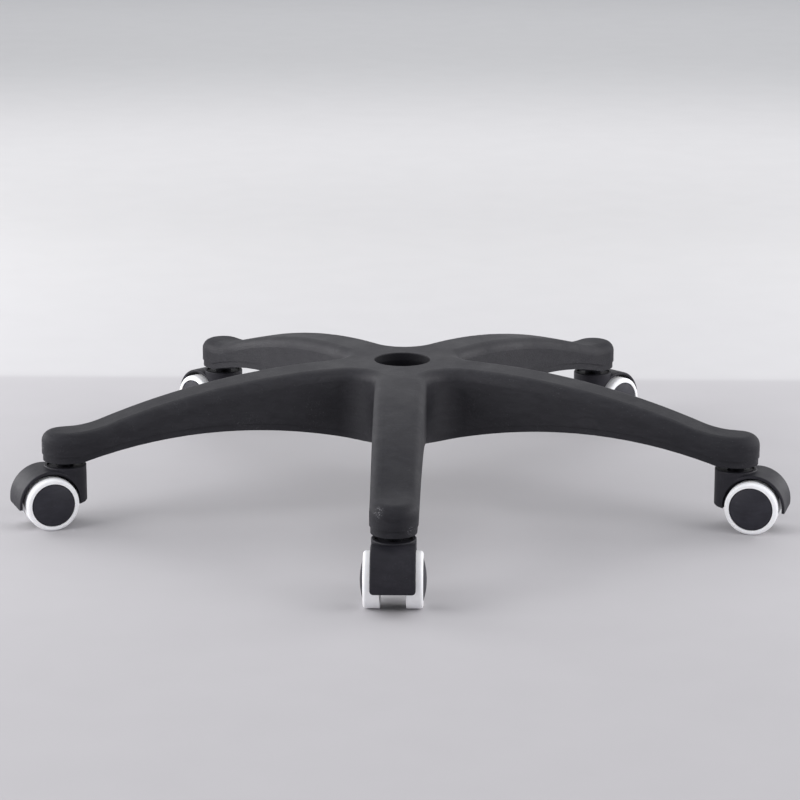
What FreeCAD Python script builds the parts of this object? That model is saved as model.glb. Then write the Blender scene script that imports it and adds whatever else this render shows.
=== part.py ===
"""Five star base of an office chair, on five hooded twin-wheel casters.

The star is one ribbed nylon moulding: a hub with a bore for the gas column, five
arched arms and a blind socket for a caster stem under each arm end. A steel ring
is pressed round the lower end of the hub tube. Each caster has a steel stem with a
sprung grip ring, a hood, a steel axle and two wheels, and each wheel has a core,
a soft tyre and a domed cap.

Sizes are in millimetres. Shapes are built with the floor at height 0 and moved at
export, so that the origin is on the bore's axis where the cone that leads in ends and
the straight land begins.
"""

import FreeCAD, Part

import math
import os

from FreeCAD import Vector

# Star: plan
ARM_COUNT = 5
FRONT_ARM_ANGLE = -90.0
ARM_REACH = 330.0
ARM_END_RADIUS = 21.4
ARM_HALF_WIDTH_AT_HUB = 25.2
ARMPIT_RADIUS = 26.0

# Star: heights above the flat face round the caster socket
HUB_TOP_RISE = 72.5
HUB_FOOT_DROP = 3.8
ARM_END_RISE = 27.9
ARCH_RISE = 20.4

# Star: where the lines of the arm change, measured out from the hub's axis
HUB_FLAT_RADIUS = 54.0
ARM_SADDLE_RADIUS = 95.0
ARM_END_FLAT = 7.0
HUB_FOOT_RADIUS = 34.0
ARCH_PEAK = 184.0
ARCH_END = 318.5

# Star: edges and walls
TOP_EDGE_RADIUS = 10.0
LIP_HEIGHT = 6.5
LIP_INSET = 1.0
ARM_WALL = 4.0
ARM_ROOF = 4.6
RIB = 2.8
RIB_SETBACK = 3.0
BRACE_BAYS = 5
BRACE_START = 66.0
BRACE_RIB = 2.2

# Star: hub
BORE_RADIUS = 25.0
BORE_LIP_RADIUS = 0.8
BORE_LEAD_IN = 1.9
BORE_LEAD_IN_DEPTH = 7.0
BORE_LAND = 14.0
BORE_TAPER_HALF_ANGLE = 1.438
HUB_TUBE_WALL = 5.6

# Steel ring round the hub tube
RING_WALL = 2.5
RING_HEIGHT = 12.0
RING_FROM_FOOT = 1.0

# Star: caster socket
SOCKET_RADIUS = 5.6
SOCKET_DEPTH = 24.0
SOCKET_TUBE_WALL = 4.4
SOCKET_RIM_WALL = 3.4
SOCKET_CELLS = 6
SOCKET_LEAD_IN = 0.8
SOCKET_BOSS_HEIGHT = 12.0

# Caster: stem and grip ring
STEM_RADIUS = 5.5
STEM_IN_SOCKET = 22.0
STEM_IN_HOOD = 21.0
STEM_TIP_CHAMFER = 1.5
STEM_COLLAR_RADIUS = 8.0
GRIP_FROM_TIP = 4.5
GRIP_WIDTH = 3.0
GRIP_DEPTH = 0.9
GRIP_SLOT = 2.6
STEM_SNAP_FROM_END = 4.0
STEM_SNAP_WIDTH = 2.4
STEM_SNAP_DEPTH = 0.9
SWIVEL_GAP = 4.8

# Caster: hood
HOOD_RADIUS = 19.8
HOOD_SKIRT_LEVEL = 21.0
HOOD_RISE = 32.0
HOOD_DISH_RADIUS = 17.0
HOOD_DISH_DEPTH = 1.6
HOOD_RIM_EDGE = 1.0
HOOD_SKIRT_EDGE = 2.5
FENDER_RADIUS = 30.6
FENDER_EDGE = 1.4
FENDER_CORNER = 3.5
FENDER_TIP_DROP = 4.5
WHEEL_WELL_CLEARANCE = 3.0
HOOD_WALL = 2.2
WEB_CLEARANCE = 1.0
STEM_TUBE_WALL = 3.0
AXLE_BOSS_RADIUS = 7.5
TRAIL = 18.6

# Caster: axle
AXLE_RADIUS = 3.0
AXLE_END_GAP = 0.6
AXLE_GROOVE_DEPTH = 0.6
AXLE_GROOVE_WIDTH = 2.0
AXLE_GROOVE_FROM_END = 2.2
AXLE_CHAMFER = 0.6

# Caster: wheel
WHEEL_RADIUS = 25.0
WHEEL_GAP_HALF = 11.4
WHEEL_WIDTH = 14.6
TYRE_THICKNESS = 4.0
TYRE_SHOULDER_RADIUS = 2.8
TYRE_INNER_EDGE = 0.8
TYRE_KEY_WIDTH = 5.0
TYRE_KEY_DEPTH = 1.2
RIM_WALL = 2.6
RIM_END_DEPTH = 2.8
TYRE_LIP = 0.5
CORE_WEB = 2.5
CORE_WEB_FROM_FACE = 5.0
CORE_HUB_RADIUS = 6.5
CORE_SPOKES = 6
CORE_SPOKE = 2.0
CORE_SPOKE_SETBACK = 1.0
CAP_RADIUS = 20.3
CAP_EDGE = 0.8
CAP_EDGE_DEPTH = 0.8
CAP_BULGE = 3.7
CAP_WALL = 1.8
CAP_SKIRT_WALL = 1.4
CAP_SKIRT_DEPTH = 3.2

# Clearances
RUNNING_CLEARANCE = 0.05
THRUST_GAP = 0.3
SNAP_GAP = 0.3
SEAT_GAP = 0.2

# How far each caster stands turned from its arm, as in the picture
CASTER_TURN = (0.0, 4.0, -9.0, 9.0, 4.0)

# Levels that follow from the sizes above
AXLE_HEIGHT = WHEEL_RADIUS
HOOD_TOP = AXLE_HEIGHT + HOOD_RISE
SOCKET_FACE = HOOD_TOP + SWIVEL_GAP
HUB_TOP = SOCKET_FACE + HUB_TOP_RISE
ARM_END_TOP = SOCKET_FACE + ARM_END_RISE
HUB_FOOT = SOCKET_FACE - HUB_FOOT_DROP
ARCH_LEVEL = SOCKET_FACE + ARCH_RISE
TUBE_RADIUS = BORE_RADIUS + HUB_TUBE_WALL
TIP_RADIUS = ARM_REACH + ARM_END_RADIUS
SOCKET_TUBE_RADIUS = SOCKET_RADIUS + SOCKET_TUBE_WALL
BOSS_RADIUS = ARM_END_RADIUS - LIP_INSET
DISH_FLOOR = HOOD_TOP - HOOD_DISH_DEPTH
WEB_HALF = WHEEL_GAP_HALF - WEB_CLEARANCE
RIM_RADIUS = WHEEL_RADIUS - TYRE_THICKNESS
RIM_END = WHEEL_GAP_HALF + WHEEL_WIDTH - RIM_END_DEPTH
AXLE_HALF = RIM_END - AXLE_END_GAP
GAUGE_PLANE = HUB_TOP - BORE_LEAD_IN_DEPTH

# Room that a cutting shape needs past the body that it cuts, and overlap of shapes that join
PAST = 20.0
BITE = 0.5

# Upward part of a face's normal from which it counts as level, and below which as upright
LEVEL_ENOUGH = 0.8
UPRIGHT_ENOUGH = 0.2

UP = Vector(0, 0, 1)
Y_AXIS = Vector(0, 1, 0)


def arc(start, middle, end):
    """An edge on the circle through three points."""
    return Part.Arc(start, middle, end).toShape()


def line(start, end):
    """A straight edge."""
    return Part.makeLine(start, end)


def face_in(edges):
    """The flat face inside a closed loop of edges."""
    return Part.Face(Part.Wire(Part.__sortEdges__(edges)))


def turned(shape, degrees, centre=Vector(0, 0, 0), axis=UP):
    """A copy of a shape, turned about an axis through a point."""
    copy = shape.copy()
    copy.rotate(centre, axis, degrees)
    return copy


def moved(shape, offset):
    """A copy of a shape, moved by a vector."""
    copy = shape.copy()
    copy.translate(offset)
    return copy


def ring(outer, inner, low, high):
    """An upright tube between two levels, on the vertical axis."""
    height = high - low
    body = Part.makeCylinder(outer, height, Vector(0, 0, low))
    return body.cut(Part.makeCylinder(inner, height, Vector(0, 0, low)))


def lathe(points):
    """The solid that a closed polygon of (radius, distance) pairs makes round the Y axis."""
    corners = [Vector(radius, distance, 0) for radius, distance in points]
    wire = Part.makePolygon(corners + [corners[0]])
    return Part.Face(wire).revolve(Vector(0, 0, 0), Y_AXIS, 360)


def upright_lathe(points):
    """The solid that a closed polygon of (radius, height) pairs makes round the vertical axis."""
    corners = [Vector(radius, 0, height) for radius, height in points]
    wire = Part.makePolygon(corners + [corners[0]])
    return Part.Face(wire).revolve(Vector(0, 0, 0), UP, 360)


def side_line(inset):
    """Angle of an arm's side to its centre line, and the side's distance from the hub's axis."""
    taper = math.asin((ARM_HALF_WIDTH_AT_HUB - ARM_END_RADIUS) / ARM_REACH)
    return taper, ARM_REACH * math.sin(taper) + ARM_END_RADIUS - inset


def star_outline(inset, height):
    """The closed plan outline of the star at one level, inset from the full outline."""
    taper, distance = side_line(inset)
    half_pitch = math.pi / ARM_COUNT
    armpit = ARMPIT_RADIUS + inset
    centre = (distance + armpit) / math.sin(half_pitch + taper)
    root_x = centre * math.cos(half_pitch) - armpit * math.sin(taper)
    root_y = centre * math.sin(half_pitch) - armpit * math.cos(taper)
    end = ARM_END_RADIUS - inset
    end_x = ARM_REACH + end * math.sin(taper)
    end_y = end * math.cos(taper)
    web = centre - armpit
    pitch = 2 * half_pitch
    one_arm = [
        line(Vector(root_x, -root_y, height), Vector(end_x, -end_y, height)),
        arc(
            Vector(end_x, -end_y, height),
            Vector(ARM_REACH + end, 0, height),
            Vector(end_x, end_y, height),
        ),
        line(Vector(end_x, end_y, height), Vector(root_x, root_y, height)),
        arc(
            Vector(root_x, root_y, height),
            Vector(web * math.cos(half_pitch), web * math.sin(half_pitch), height),
            Vector(
                root_x * math.cos(pitch) + root_y * math.sin(pitch),
                root_x * math.sin(pitch) - root_y * math.cos(pitch),
                height,
            ),
        ),
    ]
    return [
        turned(edge, FRONT_ARM_ANGLE + math.degrees(pitch) * number)
        for number in range(ARM_COUNT)
        for edge in one_arm
    ]


def revolved_profile(edges):
    """The solid that a closed loop of edges in the XZ plane makes round the vertical axis."""
    return turned(face_in(edges).revolve(Vector(0, 0, 0), UP, 360), FRONT_ARM_ANGLE)


def above_star(drop):
    """Everything over the star's top surface: flat hub, convex arc, saddle arc and flat end."""
    flat_end = ARM_REACH - ARM_END_FLAT
    high = HUB_TOP - drop
    low = ARM_END_TOP - drop
    turn = 2 * math.atan((high - low) / (flat_end - HUB_FLAT_RADIUS))
    crown = (flat_end - HUB_FLAT_RADIUS) / math.sin(turn) - ARM_SADDLE_RADIUS

    def on_crown(angle):
        run, fall = crown * math.sin(angle), crown * (1 - math.cos(angle))
        return Vector(HUB_FLAT_RADIUS + run, 0, high - fall)

    def on_saddle(angle):
        run = ARM_SADDLE_RADIUS * math.sin(angle)
        rise = ARM_SADDLE_RADIUS * (1 - math.cos(angle))
        return Vector(flat_end - run, 0, low + rise)

    middle = Vector(0, 0, high)
    far = Vector(TIP_RADIUS + PAST, 0, low)
    roof = HUB_TOP + PAST
    edges = [
        line(middle, on_crown(0)),
        arc(on_crown(0), on_crown(turn / 2), on_crown(turn)),
        arc(on_crown(turn), on_saddle(turn / 2), on_saddle(0)),
        line(on_saddle(0), far),
        line(far, Vector(far.x, 0, roof)),
        line(Vector(far.x, 0, roof), Vector(0, 0, roof)),
        line(Vector(0, 0, roof), middle),
    ]
    return revolved_profile(edges)


def arch_middle(foot, peak):
    """The point halfway along the arc that is level at the arch's peak and passes a foot."""
    run, rise = foot.x - peak.x, peak.z - foot.z
    radius = (run * run + rise * rise) / (2 * rise)
    half = math.asin(run / radius) / 2
    return Vector(peak.x + radius * math.sin(half), 0, peak.z - radius * (1 - math.cos(half)))


def below_star(raise_by):
    """Everything under the star: flat below the hub, arched below the arms, flat below the ends."""
    middle = Vector(0, 0, HUB_FOOT + raise_by)
    start = Vector(HUB_FOOT_RADIUS, 0, middle.z)
    peak = Vector(ARCH_PEAK, 0, ARCH_LEVEL + raise_by)
    end = Vector(ARCH_END, 0, SOCKET_FACE + raise_by)
    far = Vector(TIP_RADIUS + PAST, 0, end.z)
    floor = -PAST
    edges = [
        line(middle, start),
        arc(start, arch_middle(start, peak), peak),
        arc(peak, arch_middle(end, peak), end),
        line(end, far),
        line(far, Vector(far.x, 0, floor)),
        line(Vector(far.x, 0, floor), Vector(0, 0, floor)),
        line(Vector(0, 0, floor), middle),
    ]
    return revolved_profile(edges)


def arm_angles():
    """The direction of each arm in degrees, starting with the front one."""
    return [FRONT_ARM_ANGLE + 360.0 / ARM_COUNT * number for number in range(ARM_COUNT)]


def on_every_arm(shape):
    """Copies of a shape drawn along +X, one on each arm."""
    return [turned(shape, angle) for angle in arm_angles()]


def star_slab(inset, low, high):
    """A straight-sided star between two levels."""
    return face_in(star_outline(inset, low)).extrude(Vector(0, 0, high - low))


def rim_edges(shape, lowest):
    """The edges where an upward face meets an upright one, above a level."""
    found = []
    for edge in shape.Edges:
        if edge.BoundBox.ZMin < lowest:
            continue
        faces = shape.ancestorsOfType(edge, Part.Face)
        if len(faces) != 2:
            continue
        middle = edge.valueAt((edge.FirstParameter + edge.LastParameter) / 2)
        slopes = []
        for face in faces:
            u, v = face.Surface.parameter(middle)
            slopes.append(abs(face.normalAt(u, v).z))
        if max(slopes) > LEVEL_ENOUGH and min(slopes) < UPRIGHT_ENOUGH:
            found.append(edge)
    return found


def upright_plate(start, end, thickness, low, high):
    """A plate that stands on a line between two plan points."""
    run = end - start
    side = Vector(-run.y, run.x, 0).normalize() * (thickness / 2)
    corners = [start - side, end - side, end + side, start + side]
    wire = Part.makePolygon([Vector(c.x, c.y, low) for c in corners + corners[:1]])
    return Part.Face(wire).extrude(Vector(0, 0, high - low))


def star_body():
    """The outside of the star: arms, hub, rounded top edge, set-back lip and socket bosses."""
    main = star_slab(0, HUB_FOOT, HUB_TOP).cut([above_star(0), below_star(LIP_HEIGHT)])
    main = main.makeFillet(TOP_EDGE_RADIUS, rim_edges(main, ARM_END_TOP - BITE))
    lip = star_slab(LIP_INSET, HUB_FOOT, HUB_TOP)
    lip = lip.cut([above_star(TOP_EDGE_RADIUS), below_star(0)])
    foot = Vector(ARM_REACH, 0, SOCKET_FACE)
    boss = Part.makeCylinder(BOSS_RADIUS, SOCKET_BOSS_HEIGHT, foot)
    return main.fuse([lip] + on_every_arm(boss))


def channel():
    """The hollow under the roof of the star, with rounded upper corners."""
    space = star_slab(ARM_WALL, HUB_FOOT - PAST, HUB_TOP).cut(above_star(ARM_ROOF))
    return space.makeFillet(TOP_EDGE_RADIUS - ARM_WALL, rim_edges(space, ARM_END_TOP - PAST))


def arm_ribs():
    """The ribs under one arm along +X: a spine, a cross rib at each bay's end and a zigzag."""
    low, high = HUB_FOOT, HUB_TOP
    inner = BRACE_START
    outer = ARM_REACH - BOSS_RADIUS + SOCKET_RIM_WALL
    plates = [upright_plate(Vector(BORE_RADIUS, 0, 0), Vector(outer, 0, 0), RIB, low, high)]
    bay = (outer - inner) / BRACE_BAYS
    half = ARM_HALF_WIDTH_AT_HUB
    for number in range(BRACE_BAYS):
        near, far = inner + bay * number, inner + bay * (number + 1)
        side = half if number % 2 else -half
        cross = upright_plate(Vector(near, -half, 0), Vector(near, half, 0), BRACE_RIB, low, high)
        slope = upright_plate(Vector(near, -side, 0), Vector(far, side, 0), BRACE_RIB, low, high)
        plates += [cross, slope]
    return plates


def socket_parts():
    """The round rim, the socket tube and the spokes between them under one arm's end."""
    rim = ring(BOSS_RADIUS, BOSS_RADIUS - SOCKET_RIM_WALL, SOCKET_FACE, HUB_TOP)
    tube = Part.makeCylinder(SOCKET_TUBE_RADIUS, HUB_TOP - SOCKET_FACE, Vector(0, 0, SOCKET_FACE))
    middle = BOSS_RADIUS - SOCKET_RIM_WALL / 2
    spokes = []
    for number in range(SOCKET_CELLS):
        angle = 2 * math.pi * (number + 0.5) / SOCKET_CELLS
        tip = Vector(middle * math.cos(angle), middle * math.sin(angle), 0)
        low = SOCKET_FACE + RIB_SETBACK
        spokes.append(upright_plate(Vector(0, 0, 0), tip, BRACE_RIB, low, HUB_TOP))
    return [moved(shape, Vector(ARM_REACH, 0, 0)) for shape in [rim, tube] + spokes]


def hub_spokes():
    """The ribs that run from the hub tube to the wall between two arms."""
    reach = ARMPIT_RADIUS + TUBE_RADIUS
    plates = []
    for angle in arm_angles():
        halfway = math.radians(angle + 180.0 / ARM_COUNT)
        tip = Vector(reach * math.cos(halfway), reach * math.sin(halfway), 0)
        plates.append(upright_plate(Vector(0, 0, 0), tip, RIB, HUB_FOOT, HUB_TOP))
    return plates


def column_bore():
    """The bore for the gas column: lip, lead-in cone, straight land and a slow taper below it."""
    foot = HUB_FOOT - PAST
    land_end = GAUGE_PLANE - BORE_LAND
    narrow = BORE_RADIUS - (land_end - foot) * math.tan(math.radians(BORE_TAPER_HALF_ANGLE))
    cone_end = BORE_RADIUS + BORE_LEAD_IN
    mouth = cone_end + BORE_LIP_RADIUS
    turn = BORE_LIP_RADIUS * (1 - math.sqrt(0.5))
    edges = [
        line(Vector(0, 0, foot), Vector(narrow, 0, foot)),
        line(Vector(narrow, 0, foot), Vector(BORE_RADIUS, 0, land_end)),
        line(Vector(BORE_RADIUS, 0, land_end), Vector(BORE_RADIUS, 0, GAUGE_PLANE)),
        line(Vector(BORE_RADIUS, 0, GAUGE_PLANE), Vector(cone_end, 0, HUB_TOP - BORE_LIP_RADIUS)),
        arc(
            Vector(cone_end, 0, HUB_TOP - BORE_LIP_RADIUS),
            Vector(cone_end + turn, 0, HUB_TOP - turn),
            Vector(mouth, 0, HUB_TOP),
        ),
        line(Vector(mouth, 0, HUB_TOP), Vector(mouth, 0, HUB_TOP + PAST)),
        line(Vector(mouth, 0, HUB_TOP + PAST), Vector(0, 0, HUB_TOP + PAST)),
        line(Vector(0, 0, HUB_TOP + PAST), Vector(0, 0, foot)),
    ]
    return revolved_profile(edges)


def caster_socket():
    """The blind hole for one caster stem, with a short lead-in."""
    mouth = SOCKET_RADIUS + SOCKET_LEAD_IN
    points = [
        (0, SOCKET_FACE - PAST),
        (mouth, SOCKET_FACE - PAST),
        (mouth, SOCKET_FACE),
        (SOCKET_RADIUS, SOCKET_FACE + SOCKET_LEAD_IN),
        (SOCKET_RADIUS, SOCKET_FACE + SOCKET_DEPTH),
        (0, SOCKET_FACE + SOCKET_DEPTH),
    ]
    return moved(upright_lathe(points), Vector(ARM_REACH, 0, 0))


def star_base():
    """The whole moulding: outside, channel with its ribs left standing, bore and sockets."""
    ribs = [rib for plate in arm_ribs() for rib in on_every_arm(plate)] + hub_spokes()
    kept = ribs[0].fuse(ribs[1:]).cut(below_star(RIB_SETBACK))
    seat_top = HUB_FOOT + RING_FROM_FOOT + RING_HEIGHT
    kept = kept.cut(Part.makeCylinder(TUBE_RADIUS + RING_WALL + SEAT_GAP, seat_top + SEAT_GAP))
    tube = Part.makeCylinder(TUBE_RADIUS, HUB_TOP - HUB_FOOT, Vector(0, 0, HUB_FOOT))
    ends = [shape for part in socket_parts() for shape in on_every_arm(part)]
    boss_space = Part.makeCylinder(BOSS_RADIUS - BITE, HUB_TOP, Vector(ARM_REACH, 0, 0))
    kept = kept.cut(on_every_arm(boss_space)).fuse([tube] + ends)
    body = star_body().cut(channel().cut(kept))
    return body.cut([column_bore()] + on_every_arm(caster_socket()))


def hub_ring():
    """The steel ring round the lower end of the hub tube."""
    low = HUB_FOOT + RING_FROM_FOOT
    return ring(TUBE_RADIUS + RING_WALL, TUBE_RADIUS, low, low + RING_HEIGHT)


def stem():
    """A caster stem, standing on the origin's axis, with collar, grip groove and snap groove."""
    top = SOCKET_FACE + STEM_IN_SOCKET
    bottom = DISH_FLOOR - STEM_IN_HOOD
    grip_high = top - GRIP_FROM_TIP
    grip_low = grip_high - GRIP_WIDTH
    snap_low = bottom + STEM_SNAP_FROM_END
    snap_high = snap_low + STEM_SNAP_WIDTH
    neck = STEM_RADIUS - GRIP_DEPTH
    waist = STEM_RADIUS - STEM_SNAP_DEPTH
    return upright_lathe([
        (0, bottom),
        (STEM_RADIUS - AXLE_CHAMFER, bottom),
        (STEM_RADIUS, bottom + AXLE_CHAMFER),
        (STEM_RADIUS, snap_low),
        (waist, snap_low),
        (waist, snap_high),
        (STEM_RADIUS, snap_high),
        (STEM_RADIUS, DISH_FLOOR + THRUST_GAP),
        (STEM_COLLAR_RADIUS, DISH_FLOOR + THRUST_GAP),
        (STEM_COLLAR_RADIUS, SOCKET_FACE),
        (STEM_RADIUS, SOCKET_FACE),
        (STEM_RADIUS, grip_low),
        (neck, grip_low),
        (neck, grip_high),
        (STEM_RADIUS, grip_high),
        (STEM_RADIUS, top - STEM_TIP_CHAMFER),
        (STEM_RADIUS - STEM_TIP_CHAMFER, top),
        (0, top),
    ])


def grip_ring():
    """The split ring in the stem's upper groove, sprung against the socket."""
    high = SOCKET_FACE + STEM_IN_SOCKET - GRIP_FROM_TIP
    band = ring(SOCKET_RADIUS, STEM_RADIUS - GRIP_DEPTH, high - GRIP_WIDTH, high)
    corner = Vector(0, -GRIP_SLOT / 2, high - GRIP_WIDTH)
    return band.cut(Part.makeBox(SOCKET_RADIUS, GRIP_SLOT, GRIP_WIDTH, corner))


def across(radius, half):
    """A cylinder about a caster's axle, the same on both sides of its middle plane."""
    return Part.makeCylinder(radius, 2 * half, Vector(TRAIL, -half, AXLE_HEIGHT), Y_AXIS)


def hood_outside():
    """The filled outside of a hood: round boss in front and a fender over the wheels behind."""
    foot = Vector(0, 0, HOOD_SKIRT_LEVEL)
    boss = Part.makeCylinder(HOOD_RADIUS, HOOD_TOP - HOOD_SKIRT_LEVEL, foot)
    rim = [edge for edge in boss.Edges if edge.BoundBox.ZMin > HOOD_TOP - BITE]
    boss = boss.makeFillet(HOOD_RIM_EDGE, rim)
    skirt = [edge for edge in boss.Edges if edge.BoundBox.ZMax < HOOD_SKIRT_LEVEL + BITE]
    boss = boss.makeFillet(HOOD_SKIRT_EDGE, skirt)
    barrel = across(FENDER_RADIUS, HOOD_RADIUS)
    barrel = barrel.makeFillet(FENDER_EDGE, [edge for edge in barrel.Edges if edge.Closed])
    tip = AXLE_HEIGHT - FENDER_TIP_DROP
    reach = TRAIL + FENDER_RADIUS + BITE
    corner = Vector(0, -HOOD_RADIUS, tip)
    block = Part.makeBox(reach, 2 * HOOD_RADIUS, 2 * FENDER_RADIUS, corner)
    low = [edge for edge in block.Edges if edge.BoundBox.ZMax < tip + BITE]
    along = [edge for edge in low if edge.BoundBox.YLength < BITE]
    block = block.makeFillet(FENDER_CORNER, along)
    return boss.fuse(barrel.common(block))


def hood_wells():
    """The room for both wheels, and the open gap between them behind the web."""
    radius = WHEEL_RADIUS + WHEEL_WELL_CLEARANCE
    wells = []
    for side in (-1, 1):
        start = Vector(TRAIL, side * WEB_HALF, AXLE_HEIGHT)
        wells.append(Part.makeCylinder(radius, HOOD_RADIUS, start, Y_AXIS * side))
    corner = Vector(TRAIL + AXLE_BOSS_RADIUS, -WEB_HALF, -PAST)
    behind = Part.makeBox(FENDER_RADIUS, 2 * WEB_HALF, HOOD_TOP + PAST, corner)
    return wells + [across(radius, WEB_HALF).common(behind)]


def hood_pocket():
    """The hollow inside a hood's web, round the stem tube, the axle boss and a spine."""
    inner = WEB_HALF - HOOD_WALL
    low = AXLE_HEIGHT - FENDER_RADIUS
    roof = across(WHEEL_RADIUS + WHEEL_WELL_CLEARANCE, inner)
    front = Part.makeCylinder(HOOD_RADIUS - HOOD_WALL, DISH_FLOOR - HOOD_WALL)
    length = HOOD_RADIUS + TRAIL + AXLE_BOSS_RADIUS - HOOD_WALL
    span = Part.makeBox(length, 2 * inner, HOOD_TOP - low, Vector(-HOOD_RADIUS, -inner, low))
    tube_foot = DISH_FLOOR - STEM_IN_HOOD - HOOD_WALL
    tube_radius = STEM_RADIUS + STEM_TUBE_WALL
    tube = Part.makeCylinder(tube_radius, HOOD_TOP - tube_foot, Vector(0, 0, tube_foot))
    corner = Vector(-HOOD_RADIUS, -HOOD_WALL / 2, HOOD_SKIRT_LEVEL)
    spine = Part.makeBox(length, HOOD_WALL, HOOD_TOP, corner)
    return roof.fuse(front).common(span).cut([across(AXLE_BOSS_RADIUS, WEB_HALF), tube, spine])


def hood_stem_hole():
    """The blind hole for the stem, with the bead that snaps into the stem's lower groove."""
    hole = STEM_RADIUS + RUNNING_CLEARANCE
    bottom = DISH_FLOOR - STEM_IN_HOOD - THRUST_GAP
    bead_low = bottom + THRUST_GAP + STEM_SNAP_FROM_END + SNAP_GAP
    bead_high = bead_low + STEM_SNAP_WIDTH - 2 * SNAP_GAP
    bead = STEM_RADIUS - STEM_SNAP_DEPTH + SNAP_GAP
    return upright_lathe([
        (0, bottom),
        (hole, bottom),
        (hole, bead_low),
        (bead, bead_low),
        (bead, bead_high),
        (hole, bead_high),
        (hole, HOOD_TOP + PAST),
        (0, HOOD_TOP + PAST),
    ])


def hood():
    """A caster hood: boss and fender, wheel wells, hollow web, dish, stem hole and axle bore."""
    axle_boss = across(AXLE_BOSS_RADIUS, WEB_HALF)
    body = hood_outside().cut(hood_wells()).cut(hood_pocket()).fuse(axle_boss)
    dish = Part.makeCylinder(HOOD_DISH_RADIUS, PAST, Vector(0, 0, DISH_FLOOR))
    return body.cut([dish, hood_stem_hole(), across(AXLE_RADIUS, HOOD_RADIUS)])


def axle():
    """The axle pin of a caster, with a snap groove near each end."""
    end = AXLE_HALF
    groove_out = end - AXLE_GROOVE_FROM_END
    groove_in = groove_out - AXLE_GROOVE_WIDTH
    neck = AXLE_RADIUS - AXLE_GROOVE_DEPTH
    half = [
        (AXLE_RADIUS, groove_in),
        (neck, groove_in),
        (neck, groove_out),
        (AXLE_RADIUS, groove_out),
        (AXLE_RADIUS, end - AXLE_CHAMFER),
        (AXLE_RADIUS - AXLE_CHAMFER, end),
    ]
    other = [(radius, -distance) for radius, distance in reversed(half)]
    pin = lathe([(0, -end)] + other + half + [(0, end)])
    return moved(pin, Vector(TRAIL, 0, AXLE_HEIGHT))


def wheel_core():
    """A wheel's core on the Y axis: hub with its snap bead, web, ribs and keyed rim."""
    face = WHEEL_GAP_HALF
    hub_start = WEB_HALF + THRUST_GAP
    rim_inner = RIM_RADIUS - RIM_WALL
    web_low = face + CORE_WEB_FROM_FACE
    web_high = web_low + CORE_WEB
    hole = AXLE_RADIUS + RUNNING_CLEARANCE
    bead = AXLE_RADIUS - AXLE_GROOVE_DEPTH + SNAP_GAP
    bead_high = AXLE_HALF - AXLE_GROOVE_FROM_END - SNAP_GAP
    bead_low = bead_high - AXLE_GROOVE_WIDTH + 2 * SNAP_GAP
    key_low = face + (WHEEL_WIDTH - RIM_END_DEPTH - TYRE_KEY_WIDTH) / 2
    key_high = key_low + TYRE_KEY_WIDTH
    key = RIM_RADIUS - TYRE_KEY_DEPTH
    body = lathe([
        (hole, hub_start),
        (CORE_HUB_RADIUS, hub_start),
        (CORE_HUB_RADIUS, web_low),
        (rim_inner, web_low),
        (rim_inner, face + TYRE_INNER_EDGE),
        (RIM_RADIUS, face + TYRE_INNER_EDGE),
        (RIM_RADIUS, key_low),
        (key, key_low),
        (key, key_high),
        (RIM_RADIUS, key_high),
        (RIM_RADIUS, RIM_END),
        (rim_inner, RIM_END),
        (rim_inner, web_high),
        (CORE_HUB_RADIUS, web_high),
        (CORE_HUB_RADIUS, AXLE_HALF),
        (hole, AXLE_HALF),
        (hole, bead_high),
        (bead, bead_high),
        (bead, bead_low),
        (hole, bead_low),
    ])
    ribs = []
    for number in range(CORE_SPOKES):
        length = rim_inner - CORE_HUB_RADIUS + 2 * BITE
        depth = CORE_WEB_FROM_FACE - TYRE_INNER_EDGE - CORE_SPOKE_SETBACK
        corner = Vector(CORE_HUB_RADIUS - BITE, web_low - depth, -CORE_SPOKE / 2)
        plate = Part.makeBox(length, depth + BITE, CORE_SPOKE, corner)
        ribs.append(turned(plate, 360.0 / CORE_SPOKES * number, Vector(0, 0, 0), Y_AXIS))
    return body.fuse(ribs)


def tread_edges(body):
    """The full circles of a tyre that are as large as the wheel."""
    length = 2 * math.pi * WHEEL_RADIUS
    return [edge for edge in body.Edges if edge.Closed and abs(edge.Length - length) < BITE]


def tyre():
    """A wheel's tyre on the Y axis: rounded shoulder, key into the rim and lip over its end."""
    face = WHEEL_GAP_HALF
    out = face + WHEEL_WIDTH
    key_low = face + (WHEEL_WIDTH - RIM_END_DEPTH - TYRE_KEY_WIDTH) / 2
    key_high = key_low + TYRE_KEY_WIDTH
    key = RIM_RADIUS - TYRE_KEY_DEPTH
    lip = RIM_RADIUS - TYRE_LIP
    body = lathe([
        (RIM_RADIUS, face),
        (WHEEL_RADIUS, face),
        (WHEEL_RADIUS, out),
        (lip, out),
        (lip, RIM_END),
        (RIM_RADIUS, RIM_END),
        (RIM_RADIUS, key_high),
        (key, key_high),
        (key, key_low),
        (RIM_RADIUS, key_low),
    ])
    outer = [edge for edge in tread_edges(body) if edge.BoundBox.YMin > out - BITE]
    body = body.makeFillet(TYRE_SHOULDER_RADIUS, outer)
    inner = [edge for edge in tread_edges(body) if edge.BoundBox.YMax < face + BITE]
    return body.makeFillet(TYRE_INNER_EDGE, inner)


def dome_middle(edge_radius, edge, apex):
    """The point halfway along the arc from a dome's apex to its edge."""
    rise = apex - edge
    radius = (edge_radius * edge_radius + rise * rise) / (2 * rise)
    half = math.asin(edge_radius / radius) / 2
    return Vector(radius * math.sin(half), apex - radius * (1 - math.cos(half)), 0)


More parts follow.
